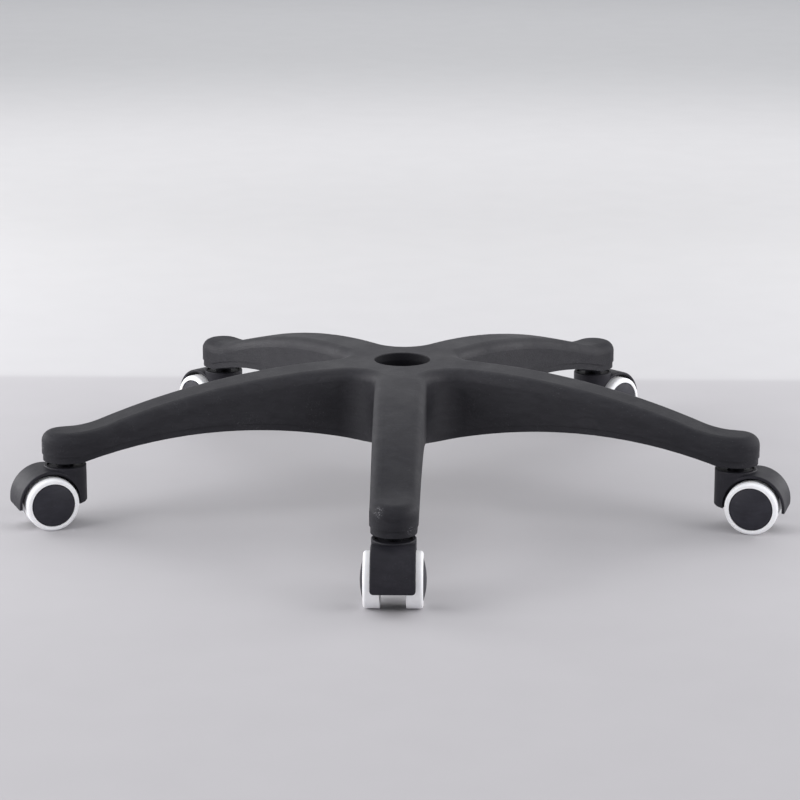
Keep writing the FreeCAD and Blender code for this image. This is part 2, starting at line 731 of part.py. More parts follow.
def cap():
    """A wheel's cap on the Y axis: dome, rim that sits on the core and a skirt inside its rim."""
    out = WHEEL_GAP_HALF + WHEEL_WIDTH
    edge = out - CAP_EDGE_DEPTH
    apex = edge + CAP_BULGE
    shoulder = CAP_RADIUS - CAP_EDGE
    skirt = RIM_RADIUS - RIM_WALL
    inside = skirt - CAP_SKIRT_WALL
    low = RIM_END - CAP_SKIRT_DEPTH

    def point(radius, distance):
        return Vector(radius, distance, 0)

    inner_edge = edge - CAP_WALL
    apex_in = apex - CAP_WALL
    high = edge + CAP_EDGE / 2
    low_edge = edge - CAP_EDGE / 2
    edges = [
        arc(point(0, apex), dome_middle(shoulder, high, apex), point(shoulder, high)),
        line(point(shoulder, high), point(CAP_RADIUS, low_edge)),
        line(point(CAP_RADIUS, low_edge), point(CAP_RADIUS, RIM_END)),
        line(point(CAP_RADIUS, RIM_END), point(skirt, RIM_END)),
        line(point(skirt, RIM_END), point(skirt, low)),
        line(point(skirt, low), point(inside, low)),
        line(point(inside, low), point(inside, inner_edge)),
        arc(point(inside, inner_edge), dome_middle(inside, inner_edge, apex_in), point(0, apex_in)),
        line(point(0, apex_in), point(0, apex)),
    ]
    return face_in(edges).revolve(Vector(0, 0, 0), Y_AXIS, 360)


def on_axle(shape, side):
    """A wheel part moved from the Y axis onto the axle, on the +Y side or the -Y side."""
    if side < 0:
        shape = turned(shape, 180)
    return moved(shape, Vector(TRAIL, 0, AXLE_HEIGHT))


def at_arm(shape, number):
    """A caster part placed under the end of one arm, turned as in the picture."""
    angle = arm_angles()[number]
    place = turned(shape, angle + CASTER_TURN[number])
    out = math.radians(angle)
    return moved(place, Vector(ARM_REACH * math.cos(out), ARM_REACH * math.sin(out), 0))


ARM_NAMES = ("front", "right", "back_right", "back_left", "left")


def export(shape, name):
    """Write one piece as a single solid, with the origin in the bore's gauge plane."""
    placed = moved(shape, Vector(0, 0, -GAUGE_PLANE))
    solid = placed.Solids[0] if len(placed.Solids) == 1 else placed
    solid.exportStep(os.path.join("parts", name + ".step"))


def main():
    """Build every piece of the base and write it to its own file."""
    os.makedirs("parts", exist_ok=True)
    export(star_base(), "star_base")
    export(hub_ring(), "hub_ring")
    single = {"stem": stem(), "grip_ring": grip_ring(), "hood": hood(), "axle": axle()}
    wheel = {"core": wheel_core(), "tyre": tyre(), "cap": cap()}
    for number, arm in enumerate(ARM_NAMES):
        for name, shape in single.items():
            export(at_arm(shape, number), name + "_" + arm)
        for side, side_name in ((-1, "a"), (1, "b")):
            for name, shape in wheel.items():
                export(at_arm(on_axle(shape, side), number), name + "_" + arm + "_" + side_name)


main()
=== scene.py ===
import logging
import math
from dataclasses import dataclass, field
from enum import Enum
from typing import Any, Optional

import bmesh
import bpy
from mathutils import Matrix, Vector
from mathutils.bvhtree import BVHTree


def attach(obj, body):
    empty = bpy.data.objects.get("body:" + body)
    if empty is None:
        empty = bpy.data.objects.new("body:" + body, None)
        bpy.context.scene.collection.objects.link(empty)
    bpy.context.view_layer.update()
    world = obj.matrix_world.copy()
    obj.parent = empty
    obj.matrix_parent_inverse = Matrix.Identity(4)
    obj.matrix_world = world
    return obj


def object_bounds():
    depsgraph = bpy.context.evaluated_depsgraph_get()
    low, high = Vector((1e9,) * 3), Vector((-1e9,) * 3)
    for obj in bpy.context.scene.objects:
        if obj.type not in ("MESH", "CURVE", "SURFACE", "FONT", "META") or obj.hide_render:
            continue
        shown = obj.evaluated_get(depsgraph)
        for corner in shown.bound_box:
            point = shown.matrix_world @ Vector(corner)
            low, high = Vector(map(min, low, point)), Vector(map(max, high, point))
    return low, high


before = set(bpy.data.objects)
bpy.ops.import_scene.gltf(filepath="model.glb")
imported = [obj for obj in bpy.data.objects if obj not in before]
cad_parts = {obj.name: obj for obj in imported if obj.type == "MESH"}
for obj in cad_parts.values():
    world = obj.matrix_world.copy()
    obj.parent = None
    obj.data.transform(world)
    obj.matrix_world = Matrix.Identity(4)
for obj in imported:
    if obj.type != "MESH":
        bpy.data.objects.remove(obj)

CAD_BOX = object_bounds()
LOG = logging.getLogger("five_star_base")

MM = 0.001
# Bands that the wave texture draws over one unit of length at a scale of one
WAVES_PER_UNIT = 20.0 / (2.0 * math.pi)
# Nearly every value of a noise texture lies between these two
NOISE_LOW = 0.3
NOISE_HIGH = 0.7
# Share of the radius of a speck or a knock within which it shows fully
FULL_SHARE = 0.4
# The front arm points along -Y
FRONT_HEADING_DEG = -90.0
UP = Vector((0.0, 0.0, 1.0))
FRAME_WIDTH_PX = 800


class ArmName(Enum):
    """The five arms, named as the casters under them are."""

    FRONT = "front"
    RIGHT = "right"
    BACK_RIGHT = "back_right"
    BACK_LEFT = "back_left"
    LEFT = "left"


class WheelSide(Enum):
    """The two wheels of one caster."""

    A = "a"
    B = "b"


class Grain(Enum):
    """How the face of a mould was finished, which the moulding copies."""

    SPARK_ERODED = "spark eroded"
    SATIN = "satin"


class Cut(Enum):
    """How a steel piece was cut to shape."""

    TURNED = "turned"
    DRAWN = "drawn"


def linear(hex_colour: str) -> tuple[float, float, float, float]:
    """Turns an sRGB colour into the linear values that shaders use.

    Args:
        hex_colour: six hexadecimal digits, such as "2a2a2c".

    Returns:
        Linear red, green and blue, and an alpha of one.
    """
    channels = []
    for start in (0, 2, 4):
        value = int(hex_colour[start:start + 2], 16) / 255
        channels.append(value / 12.92 if value <= 0.04045 else ((value + 0.055) / 1.055) ** 2.4)
    return channels[0], channels[1], channels[2], 1.0


def add_node(
    tree: bpy.types.NodeTree,
    kind: str,
    links: Optional[dict[Any, bpy.types.NodeSocket]] = None,
    values: Optional[dict[Any, Any]] = None,
    **settings: Any,
) -> bpy.types.Node:
    """Adds one shader node with its settings, socket values and incoming links.

    Args:
        tree: the material's node tree.
        kind: the node's type name.
        links: input socket, by name or number, to the output that feeds it.
        values: input socket, by name or number, to its constant.
        **settings: attributes of the node itself.

    Returns:
        The new node.
    """
    node = tree.nodes.new(kind)
    for name, value in settings.items():
        setattr(node, name, value)
    for socket, value in (values or {}).items():
        node.inputs[socket].default_value = value
    for socket, source in (links or {}).items():
        tree.links.new(source, node.inputs[socket])
    return node


def blank_material(name: str) -> tuple[bpy.types.Material, bpy.types.NodeTree, bpy.types.Node]:
    """Starts a node material that holds only a shader and an output.

    Args:
        name: the finish, in a maker's words.

    Returns:
        The material, its tree and its principled shader.
    """
    material = bpy.data.materials.new(name)
    material.use_nodes = True
    tree = material.node_tree
    tree.nodes.clear()
    shader = add_node(tree, "ShaderNodeBsdfPrincipled")
    add_node(tree, "ShaderNodeOutputMaterial", {"Surface": shader.outputs["BSDF"]})
    return material, tree, shader


def per_metre(size_mm: float) -> float:
    """The scale that makes one cell of a texture the given size."""
    return 1.0 / (size_mm * MM)


@dataclass(frozen=True)
class MouldedNylon:
    """Nylon as it leaves the mould: near black, even, as dull or satin as the mould's face."""

    name: str
    grain: Grain
    colour: str
    faded_colour: str
    scuffed_colour: str
    roughness_low: float
    roughness_high: float
    # A mould's real grain is 0.1 to 0.3 mm wide, too fine to show, so it is drawn coarser
    grain_mm: float
    grain_depth_mm: float
    patch_mm: float = 46.0
    # The resin's flow leaves marks wider than high
    flow_mm: float = 17.0
    flow_stretch: tuple[float, float, float] = (1.0, 1.0, 3.2)
    wave_depth_mm: float = 0.12
    # Tones, as the product of two noises, between which the colour fades
    fade_from: float = 0.12
    fade_full: float = 0.42
    # Noise values between which scuffs, and clusters of them, come in
    scuff_mm: float = 2.6
    scuff_from: float = 0.56
    scuff_full: float = 0.70
    scuff_patch_mm: float = 30.0
    scuff_patch_from: float = 0.52
    scuff_patch_full: float = 0.66
    scuff_amount: float = 0.30
    speck_mm: float = 5.0
    speck_radius_mm: float = 0.5
    speck_amount: float = 0.10
    specular: float = 0.32
    specular_tint: str = "faf7fc"
    index_of_refraction: float = 1.53

    def build(self) -> bpy.types.Material:
        """Makes the material.

        Returns:
            The node material.
        """
        material, tree, shader = blank_material(self.name)
        place = add_node(tree, "ShaderNodeTexCoord").outputs["Object"]
        patches = add_node(
            tree, "ShaderNodeTexNoise", {"Vector": place},
            {"Scale": per_metre(self.patch_mm), "Detail": 5.0, "Roughness": 0.6},
        )
        stretched = add_node(
            tree, "ShaderNodeMapping", {"Vector": place}, {"Scale": self.flow_stretch}
        )
        flow = add_node(
            tree, "ShaderNodeTexNoise", {"Vector": stretched.outputs["Vector"]},
            {"Scale": per_metre(self.flow_mm), "Detail": 3.0, "Distortion": 1.2},
        )
        colour = self._worn_colour(tree, place, patches, flow)
        dull = add_node(
            tree, "ShaderNodeMapRange", {"Value": patches.outputs["Fac"]},
            {"From Min": NOISE_LOW, "From Max": NOISE_HIGH, "To Min": self.roughness_low,
             "To Max": self.roughness_high},
        ).outputs["Result"]
        shader.inputs["Specular IOR Level"].default_value = self.specular
        shader.inputs["Specular Tint"].default_value = linear(self.specular_tint)
        self._join(tree, shader, place, colour, dull)
        shader.inputs["IOR"].default_value = self.index_of_refraction
        relief = self._relief(tree, place, flow)
        tree.links.new(relief.outputs["Normal"], shader.inputs["Normal"])
        return material

    def _join(
        self,
        tree: bpy.types.NodeTree,
        shader: bpy.types.Node,
        place: bpy.types.NodeSocket,
        colour: bpy.types.NodeSocket,
        dull: bpy.types.NodeSocket,
    ) -> None:
        """Feeds the shader with the colour and the roughness.

        Args:
            tree: the material's node tree.
            shader: the principled shader.
            place: the object's own coordinates, not used here.
            colour: the output that holds the colour.
            dull: the output that holds the roughness.
        """
        tree.links.new(colour, shader.inputs["Base Color"])
        tree.links.new(dull, shader.inputs["Roughness"])

    def _scuffed_places(
        self, tree: bpy.types.NodeTree, place: bpy.types.NodeSocket
    ) -> bpy.types.NodeSocket:
        """Gathers the scuffs in a few clusters.

        Args:
            tree: the material's node tree.
            place: the object's own coordinates.

        Returns:
            The output that says how much of the scuffs shows.
        """
        clusters = add_node(
            tree, "ShaderNodeTexNoise", {"Vector": place},
            {"Scale": per_metre(self.scuff_patch_mm), "Detail": 2.0},
        )
        return add_node(
            tree, "ShaderNodeMapRange", {"Value": clusters.outputs["Fac"]},
            {"From Min": self.scuff_patch_from, "From Max": self.scuff_patch_full},
        ).outputs["Result"]

    def _worn_colour(
        self,
        tree: bpy.types.NodeTree,
        place: bpy.types.NodeSocket,
        patches: bpy.types.Node,
        flow: bpy.types.Node,
    ) -> bpy.types.NodeSocket:
        """Adds the resin's slow changes of tone, pale scuffs in clusters, and lone pale specks.

        Args:
            tree: the material's node tree.
            place: the object's own coordinates.
            patches: the noise of the large patches.
            flow: the noise of the resin's flow.

        Returns:
            The output that holds the colour.
        """
        tone = add_node(
            tree, "ShaderNodeMath", {0: patches.outputs["Fac"], 1: flow.outputs["Fac"]},
            operation="MULTIPLY",
        )
        spread = add_node(
            tree, "ShaderNodeMapRange", {"Value": tone.outputs["Value"]},
            {"From Min": self.fade_from, "From Max": self.fade_full},
        )
        base = add_node(
            tree, "ShaderNodeMix", {"Factor": spread.outputs["Result"]},
            {"A": linear(self.colour), "B": linear(self.faded_colour)}, data_type="RGBA",
        )
        scuffs = add_node(
            tree, "ShaderNodeTexNoise", {"Vector": place},
            {"Scale": per_metre(self.scuff_mm), "Detail": 6.0, "Roughness": 0.72,
             "Distortion": 2.4},
        )
        marks = add_node(
            tree, "ShaderNodeMapRange", {"Value": scuffs.outputs["Fac"]},
            {"From Min": self.scuff_from, "From Max": self.scuff_full,
             "To Max": self.scuff_amount},
        )
        amount = add_node(
            tree, "ShaderNodeMath",
            {0: marks.outputs["Result"], 1: self._scuffed_places(tree, place)},
            operation="MULTIPLY", use_clamp=True,
        )
        scuffed = add_node(
            tree, "ShaderNodeMix",
            {"Factor": amount.outputs["Value"], "A": base.outputs["Result"]},
            {"B": linear(self.scuffed_colour)}, data_type="RGBA",
        )
        dots = add_node(
            tree, "ShaderNodeTexVoronoi", {"Vector": place}, {"Scale": per_metre(self.speck_mm)}
        )
        reach = self.speck_radius_mm / self.speck_mm
        specks = add_node(
            tree, "ShaderNodeMapRange", {"Value": dots.outputs["Distance"]},
            {"From Min": FULL_SHARE * reach, "From Max": reach, "To Min": self.speck_amount,
             "To Max": 0.0},
        )
        return add_node(
            tree, "ShaderNodeMix",
            {"Factor": specks.outputs["Result"], "A": scuffed.outputs["Result"]},
            {"B": linear(self.scuffed_colour)}, data_type="RGBA",
        ).outputs["Result"]

    def _relief(
        self, tree: bpy.types.NodeTree, place: bpy.types.NodeSocket, flow: bpy.types.Node
    ) -> bpy.types.Node:
        """Adds the mould's grain over the slow waves of a thick moulding.

        Args:
            tree: the material's node tree.
            place: the object's own coordinates.
            flow: the noise that the slow waves follow.

        Returns:
            The last bump node.
        """
        waves = add_node(
            tree, "ShaderNodeBump", {"Height": flow.outputs["Fac"]},
            {"Strength": 1.0, "Distance": self.wave_depth_mm * MM},
        )
        if self.grain is Grain.SPARK_ERODED:
            pits = add_node(
                tree, "ShaderNodeTexVoronoi", {"Vector": place},
                {"Scale": per_metre(self.grain_mm), "Smoothness": 0.7}, feature="SMOOTH_F1",
            )
            height = pits.outputs["Distance"]
        else:
            specks = add_node(
                tree, "ShaderNodeTexNoise", {"Vector": place},
                {"Scale": per_metre(self.grain_mm), "Detail": 2.0},
            )
            height = specks.outputs["Fac"]
        return add_node(
            tree, "ShaderNodeBump", {"Height": height, "Normal": waves.outputs["Normal"]},
            {"Strength": 1.0, "Distance": self.grain_depth_mm * MM},
        )


@dataclass(frozen=True)
class StarNylon(MouldedNylon):
    """The star's nylon: brightest where hands rub the hub, painted near black in the bore as
    shade, knocked.
    """

    # Places that feet and walls have knocked: each a point and the radius of the mark round it
    knocks_mm: tuple[tuple[float, float, float, float], ...] = ()
    knock_strength: float = 12.0
    # Distance from the hub's axis within which the bore's wall is painted near black as shade
    bore_shade_within_mm: float = 27.0
    bore_shade_edge_mm: float = 0.3
    bore_painted_shade_colour: str = "101014"
    bore_roughness: float = 0.7
    bore_specular: float = 0.12
    # Distances from the hub's axis between which the shine falls off
    rubbed_to_mm: float = 50.0
    plain_from_mm: float = 320.0
    rubbed_specular: float = 0.40
    plain_specular: float = 0.22

    def _join(
        self,
        tree: bpy.types.NodeTree,
        shader: bpy.types.Node,
        place: bpy.types.NodeSocket,
        colour: bpy.types.NodeSocket,
        dull: bpy.types.NodeSocket,
    ) -> None:
        """Feeds the shader, with the rubbed hub and the painted shade in the bore.

        Args:
            tree: the material's node tree.
            shader: the principled shader.
            place: the object's own coordinates.
            colour: the output that holds the colour.
            dull: the output that holds the roughness.
        """
        flat = add_node(
            tree, "ShaderNodeVectorMath", {0: place}, {1: (1.0, 1.0, 0.0)}, operation="MULTIPLY"
        )
        from_axis = add_node(
            tree, "ShaderNodeVectorMath", {0: flat.outputs["Vector"]}, operation="LENGTH"
        ).outputs["Value"]
        rubbed = add_node(
            tree, "ShaderNodeMapRange", {"Value": from_axis},
            {"From Min": self.rubbed_to_mm * MM, "From Max": self.plain_from_mm * MM,
             "To Min": self.rubbed_specular, "To Max": self.plain_specular},
        ).outputs["Result"]
        # Painted shade: inside the bore the colour goes near black, and the wall is rougher and
        # less shiny
        bore_shade_mask = add_node(
            tree, "ShaderNodeMapRange", {"Value": from_axis},
            {"From Min": (self.bore_shade_within_mm - self.bore_shade_edge_mm) * MM,
             "From Max": self.bore_shade_within_mm * MM, "To Min": 1.0, "To Max": 0.0},
        ).outputs["Result"]
        colour = add_node(
            tree, "ShaderNodeMix", {"Factor": bore_shade_mask, "A": colour},
            {"B": linear(self.bore_painted_shade_colour)}, data_type="RGBA",
        ).outputs["Result"]
        dull = add_node(
            tree, "ShaderNodeMix", {"Factor": bore_shade_mask, "A": dull}, {"B": self.bore_roughness},
            data_type="FLOAT",
        ).outputs["Result"]
        shine = add_node(
            tree, "ShaderNodeMix", {"Factor": bore_shade_mask, "A": rubbed}, {"B": self.bore_specular},
            data_type="FLOAT",
        ).outputs["Result"]
        tree.links.new(shine, shader.inputs["Specular IOR Level"])
        super()._join(tree, shader, place, colour, dull)

    def _scuffed_places(
        self, tree: bpy.types.NodeTree, place: bpy.types.NodeSocket
    ) -> bpy.types.NodeSocket:
        """Gathers the scuffs in a few clusters and where the arms were knocked.

        Args:
            tree: the material's node tree.
            place: the object's own coordinates.

        Returns:
            The output that says how much of the scuffs shows.
        """
        where = super()._scuffed_places(tree, place)
        for *spot, radius in self.knocks_mm:
            away = add_node(
                tree, "ShaderNodeVectorMath", {0: place}, {1: tuple(Vector(spot) * MM)},
                operation="DISTANCE",
            )
            mark = add_node(
                tree, "ShaderNodeMapRange", {"Value": away.outputs["Value"]},
                {"From Min": FULL_SHARE * radius * MM, "From Max": radius * MM,
                 "To Min": self.knock_strength, "To Max": 0.0},
            )
            where = add_node(
                tree, "ShaderNodeMath", {0: where, 1: mark.outputs["Result"]},
                operation="MAXIMUM",
            ).outputs["Value"]
        return where


@dataclass(frozen=True)
class MouldedPolyurethane:
    """Soft white tyre material: dull, slightly warm in its depth, grey where it has rolled."""

    name: str = "polyurethane_moulded_white"
    colour: str = "f3f3f5"
    rolled_colour: str = "dddce0"
    # Noise values between which the grey comes in, and how much of it
    rolled_from: float = 0.5
    rolled_full: float = 0.8
    rolled_amount: float = 0.5
    patch_mm: float = 9.0
    # The skin's real grain is about 0.2 mm wide, and is drawn coarser so that it shows
    skin_mm: float = 0.7
    skin_depth_mm: float = 0.02
    roughness_low: float = 0.42
    roughness_high: float = 0.6
    index_of_refraction: float = 1.5
    # Share of the light that goes under the skin, and how far red, green and blue get there
    depth_share: float = 0.06
    depth_mm: tuple[float, float, float] = (1.4, 1.2, 1.0)

    def build(self) -> bpy.types.Material:
        """Makes the material.

        Returns:
            The node material.
        """
        material, tree, shader = blank_material(self.name)
        place = add_node(tree, "ShaderNodeTexCoord").outputs["Object"]
        patches = add_node(
            tree, "ShaderNodeTexNoise", {"Vector": place},
            {"Scale": per_metre(self.patch_mm), "Detail": 6.0, "Roughness": 0.65},
        )
        rolled = add_node(
            tree, "ShaderNodeMapRange", {"Value": patches.outputs["Fac"]},
            {"From Min": self.rolled_from, "From Max": self.rolled_full,
             "To Max": self.rolled_amount},
        )
        base = add_node(
            tree, "ShaderNodeMix", {"Factor": rolled.outputs["Result"]},
            {"A": linear(self.colour), "B": linear(self.rolled_colour)}, data_type="RGBA",
        )
        tree.links.new(base.outputs["Result"], shader.inputs["Base Color"])
        dull = add_node(
            tree, "ShaderNodeMapRange", {"Value": patches.outputs["Fac"]},
            {"From Min": NOISE_LOW, "From Max": NOISE_HIGH, "To Min": self.roughness_low,
             "To Max": self.roughness_high},
        )
        tree.links.new(dull.outputs["Result"], shader.inputs["Roughness"])
        skin = add_node(
            tree, "ShaderNodeTexNoise", {"Vector": place},
            {"Scale": per_metre(self.skin_mm), "Detail": 2.0},
        )
        relief = add_node(
            tree, "ShaderNodeBump", {"Height": skin.outputs["Fac"]},
            {"Strength": 1.0, "Distance": self.skin_depth_mm * MM},
        )
        tree.links.new(relief.outputs["Normal"], shader.inputs["Normal"])
        shader.inputs["IOR"].default_value = self.index_of_refraction
        shader.inputs["Subsurface Weight"].default_value = self.depth_share
        shader.inputs["Subsurface Radius"].default_value = tuple(
            reach * MM for reach in self.depth_mm
        )
        return material


@dataclass(frozen=True)
class PlatedSteel:
    """Steel with bright zinc plate: pale bluish grey, clouded, and marked by how it was cut."""

    name: str
    cut: Cut
    colour: str = "b9bbbd"
    clouded_colour: str = "94969a"
    cloud_mm: float = 3.5
    # Turning leaves a ring each 0.1 mm or so, and they are drawn wider apart so that they show
    mark_mm: float = 0.5
    mark_depth_mm: float = 0.01
    roughness_low: float = 0.24
    roughness_high: float = 0.42

    def build(self) -> bpy.types.Material:
        """Makes the material.

        Returns:
            The node material.
        """
        material, tree, shader = blank_material(self.name)
        place = add_node(tree, "ShaderNodeTexCoord").outputs["Object"]
        clouds = add_node(
            tree, "ShaderNodeTexNoise", {"Vector": place},
            {"Scale": per_metre(self.cloud_mm), "Detail": 5.0},
        )
        base = add_node(
            tree, "ShaderNodeMix", {"Factor": clouds.outputs["Fac"]},
            {"A": linear(self.colour), "B": linear(self.clouded_colour)}, data_type="RGBA",
        )
        tree.links.new(base.outputs["Result"], shader.inputs["Base Color"])
        dull = add_node(
            tree, "ShaderNodeMapRange", {"Value": clouds.outputs["Fac"]},
            {"From Min": NOISE_LOW, "From Max": NOISE_HIGH, "To Min": self.roughness_low,
             "To Max": self.roughness_high},
        )
        tree.links.new(dull.outputs["Result"], shader.inputs["Roughness"])
        if self.cut is Cut.TURNED:
            marks = add_node(
                tree, "ShaderNodeTexWave", {"Vector": place},
                {"Scale": per_metre(self.mark_mm) / WAVES_PER_UNIT, "Distortion": 0.4,
                 "Detail": 1.0},
                bands_direction="Z",
            )
        else:
            marks = add_node(
                tree, "ShaderNodeTexNoise", {"Vector": place},
                {"Scale": per_metre(self.mark_mm), "Detail": 3.0},
            )
        relief = add_node(
            tree, "ShaderNodeBump", {"Height": marks.outputs["Fac"]},
            {"Strength": 1.0, "Distance": self.mark_depth_mm * MM},
        )
        tree.links.new(relief.outputs["Normal"], shader.inputs["Normal"])
        shader.inputs["Metallic"].default_value = 1.0
        return material


# Glass-filled nylon from a spark-eroded mould: charcoal, with a fine even pitting that
# scatters light, so the tops glow softly and the sides stay nearly flat
STAR_NYLON = StarNylon(
    name="nylon_glass_filled_spark_eroded",
    grain=Grain.SPARK_ERODED,
    colour="1b1b1f",
    faded_colour="27272b",
    scuffed_colour="8a898e",
    scuff_amount=0.22,
    roughness_low=0.54,
    roughness_high=0.76,
    grain_mm=1.1,
    grain_depth_mm=0.14,
    knocks_mm=(
        (-13.0, -346.0, -43.0, 7.0), (-17.0, -349.0, -50.0, 5.0), (16.0, -345.0, -60.0, 5.0),
        (-333.0, -108.0, -52.0, 8.0), (333.0, -108.0, -58.0, 7.0), (-352.0, -102.0, -60.0, 6.0),
        (206.0, 283.0, -45.0, 6.0), (-206.0, 283.0, -52.0, 7.0),
    ),
)

# Unfilled nylon from a blasted mould: a little glossier and smoother than the star
HOOD_NYLON = MouldedNylon(
    name="nylon_moulded_satin_hood",
    grain=Grain.SATIN,
    colour="1b1b20",
    faded_colour="242329",
    scuffed_colour="6a696f",
    specular=0.22,
    roughness_low=0.46,
    roughness_high=0.60,
    grain_mm=0.8,
    grain_depth_mm=0.05,
    patch_mm=18.0,
    scuff_mm=1.6,
)

# The same nylon in the wheel cores, a little glossier, as their turned moulds leave it
CORE_NYLON = MouldedNylon(
    name="nylon_moulded_satin_core",
    grain=Grain.SATIN,
    colour="1b1b1e",
    faded_colour="232326",
    scuffed_colour="505054",
    roughness_low=0.44,
    roughness_high=0.56,
    grain_mm=0.8,
    grain_depth_mm=0.05,
    patch_mm=14.0,
    scuff_mm=1.6,
)

# Caps come from a smoother mould, so each dome catches one broad soft highlight
CAP_NYLON = MouldedNylon(
    name="nylon_moulded_satin_cap",
    grain=Grain.SATIN,
    colour="24242a",
    faded_colour="2d2d34",
    scuffed_colour="66666b",
    specular=0.27,
    roughness_low=0.42,
    roughness_high=0.56,
    grain_mm=0.7,
    grain_depth_mm=0.04,
    patch_mm=12.0,
    scuff_mm=1.4,
)

# Zinc on a turned stem, its colour darkened near black as painted shade, which leaves the gap
# over a hood dark
STEM_STEEL = PlatedSteel(
    name="steel_turned_zinc_painted_shade", cut=Cut.TURNED, colour="2b2b2f", clouded_colour="1c1c20",
    roughness_low=0.34, roughness_high=0.52,
)

# Zinc on drawn rod and rolled ring: smoother, pale, and unevenly bright from its clouds
ROD_STEEL = PlatedSteel(name="steel_drawn_zinc_plated", cut=Cut.DRAWN, mark_mm=0.8)


@dataclass
class Finishes:
    """The materials of the whole object, made once and shared."""

    star: bpy.types.Material = field(default_factory=STAR_NYLON.build)
    hood: bpy.types.Material = field(default_factory=HOOD_NYLON.build)
    core: bpy.types.Material = field(default_factory=CORE_NYLON.build)
    cap: bpy.types.Material = field(default_factory=CAP_NYLON.build)
    tyre: bpy.types.Material = field(default_factory=lambda: MouldedPolyurethane().build())
    stem_steel: bpy.types.Material = field(default_factory=STEM_STEEL.build)
    rod_steel: bpy.types.Material = field(default_factory=ROD_STEEL.build)


def paint(node_name: str, material: bpy.types.Material) -> None:
    """Gives one CAD node a finish.

    Args:
        node_name: the node's name in the frame.
        material: the finish.
    """
    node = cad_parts[node_name]
    node.data.materials.clear()
    node.data.materials.append(material)
    LOG.info("painted %s: %s", node_name, material.name)


@dataclass
class Star:
    """The moulded star with the marks that its mould left, and the steel ring in its hub."""

    finishes: Finishes
    brace_start_mm: float = 66.0
    brace_end_mm: float = 313.0
    bays: int = 5
    mark_shares: tuple[float, float] = (0.28, 0.72)
    mark_offset_mm: float = 11.5
    mark_radius_mm: float = 2.6
    mark_rim_mm: float = 0.35
    mark_height_mm: float = 0.3
    mark_flare_mm: float = 0.1
    mark_sides: int = 28
    cast_from_mm: float = 90.0

    def dress(self) -> None:
        """Gives the star and its ring their finishes, and adds the ejector marks."""
        paint("star_base", self.finishes.star)
        paint("hub_ring", self.finishes.rod_steel)
        self._ejector_marks()

    def _mark_places(self) -> list[Vector]:
        """Lists the plan points of the marks, two in each bay between the ribs of each arm.

        Returns:
            The points, in metres, under the star.
        """
        bay = (self.brace_end_mm - self.brace_start_mm) / self.bays
        places = []
        for turn in range(len(ArmName)):
            heading = math.radians(FRONT_HEADING_DEG + 360.0 / len(ArmName) * turn)
            spin = Matrix.Rotation(heading, 3, "Z")
            for number in range(self.bays):
                side = self.mark_offset_mm if number % 2 else -self.mark_offset_mm
                for share, across in zip(self.mark_shares, (side, -side)):
                    along = self.brace_start_mm + bay * (number + share)
                    places.append(spin @ Vector((along, across, -self.cast_from_mm)) * MM)
        return places

    def _add_disc(self, shape: bmesh.types.BMesh, centre: Vector, normal: Vector) -> None:
        """Adds one low rimmed disc.

        Args:
            shape: the mesh that holds all discs.
            centre: the middle of the disc's foot, in metres.
            normal: the way that the disc faces.
        """
        outer = self.mark_radius_mm
        inner = outer - self.mark_rim_mm
        profile = (
            (inner - self.mark_flare_mm, self.mark_flare_mm), (inner, self.mark_height_mm),
            (outer, self.mark_height_mm), (outer + self.mark_flare_mm, -self.mark_height_mm),
        )
        lie = normal.to_track_quat("Z", "X")
        rings = []
        for radius, height in profile:
            ring = []
            for step in range(self.mark_sides):
                angle = 2.0 * math.pi * step / self.mark_sides
                spot = Vector((radius * math.cos(angle), radius * math.sin(angle), height))
                ring.append(shape.verts.new(centre + lie @ (spot * MM)))
            rings.append(ring)
        shape.faces.new(rings[0])
        for lower, upper in zip(rings, rings[1:]):
            for step in range(self.mark_sides):
                after = (step + 1) % self.mark_sides
                shape.faces.new((lower[step], upper[step], upper[after], lower[after]))

    def _ejector_marks(self) -> None:
        """Puts a disc on the roof of the star at each place where an ejector pin pushed."""
        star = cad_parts["star_base"]
        roof = BVHTree.FromObject(star, bpy.context.evaluated_depsgraph_get())
        shape = bmesh.new()
        for place in self._mark_places():
            hit, normal, _, _ = roof.ray_cast(place, UP)
            if hit is None:
                LOG.info("no roof over %s", tuple(place))
                continue
            self._add_disc(shape, hit, normal)
        bmesh.ops.recalc_face_normals(shape, faces=shape.faces)
        mesh = bpy.data.meshes.new("ejector_marks")
        shape.to_mesh(mesh)
        shape.free()
        marks = bpy.data.objects.new("ejector_marks", mesh)
        bpy.context.scene.collection.objects.link(marks)
        mesh.materials.append(self.finishes.star)
        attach(marks, "base")
        LOG.info("added ejector_marks: %d faces", len(mesh.polygons))


@dataclass
class Wheel:
    """One wheel of a caster: core, tyre and cap."""

    arm: ArmName
    side: WheelSide
    finishes: Finishes

    def dress(self) -> None:
        """Gives the wheel's three pieces their finishes."""
        ending = f"{self.arm.value}_{self.side.value}"
        paint(f"core_{ending}", self.finishes.core)
        paint(f"tyre_{ending}", self.finishes.tyre)
        paint(f"cap_{ending}", self.finishes.cap)


@dataclass
class Caster:
    """One caster: stem with its grip ring, hood, axle and two wheels."""

    arm: ArmName
    finishes: Finishes

    def dress(self) -> None:
        """Gives every piece of the caster its finish."""
        paint(f"stem_{self.arm.value}", self.finishes.stem_steel)
        paint(f"grip_ring_{self.arm.value}", self.finishes.rod_steel)
        paint(f"axle_{self.arm.value}", self.finishes.rod_steel)
        paint(f"hood_{self.arm.value}", self.finishes.hood)
        for side in WheelSide:
            Wheel(self.arm, side, self.finishes).dress()


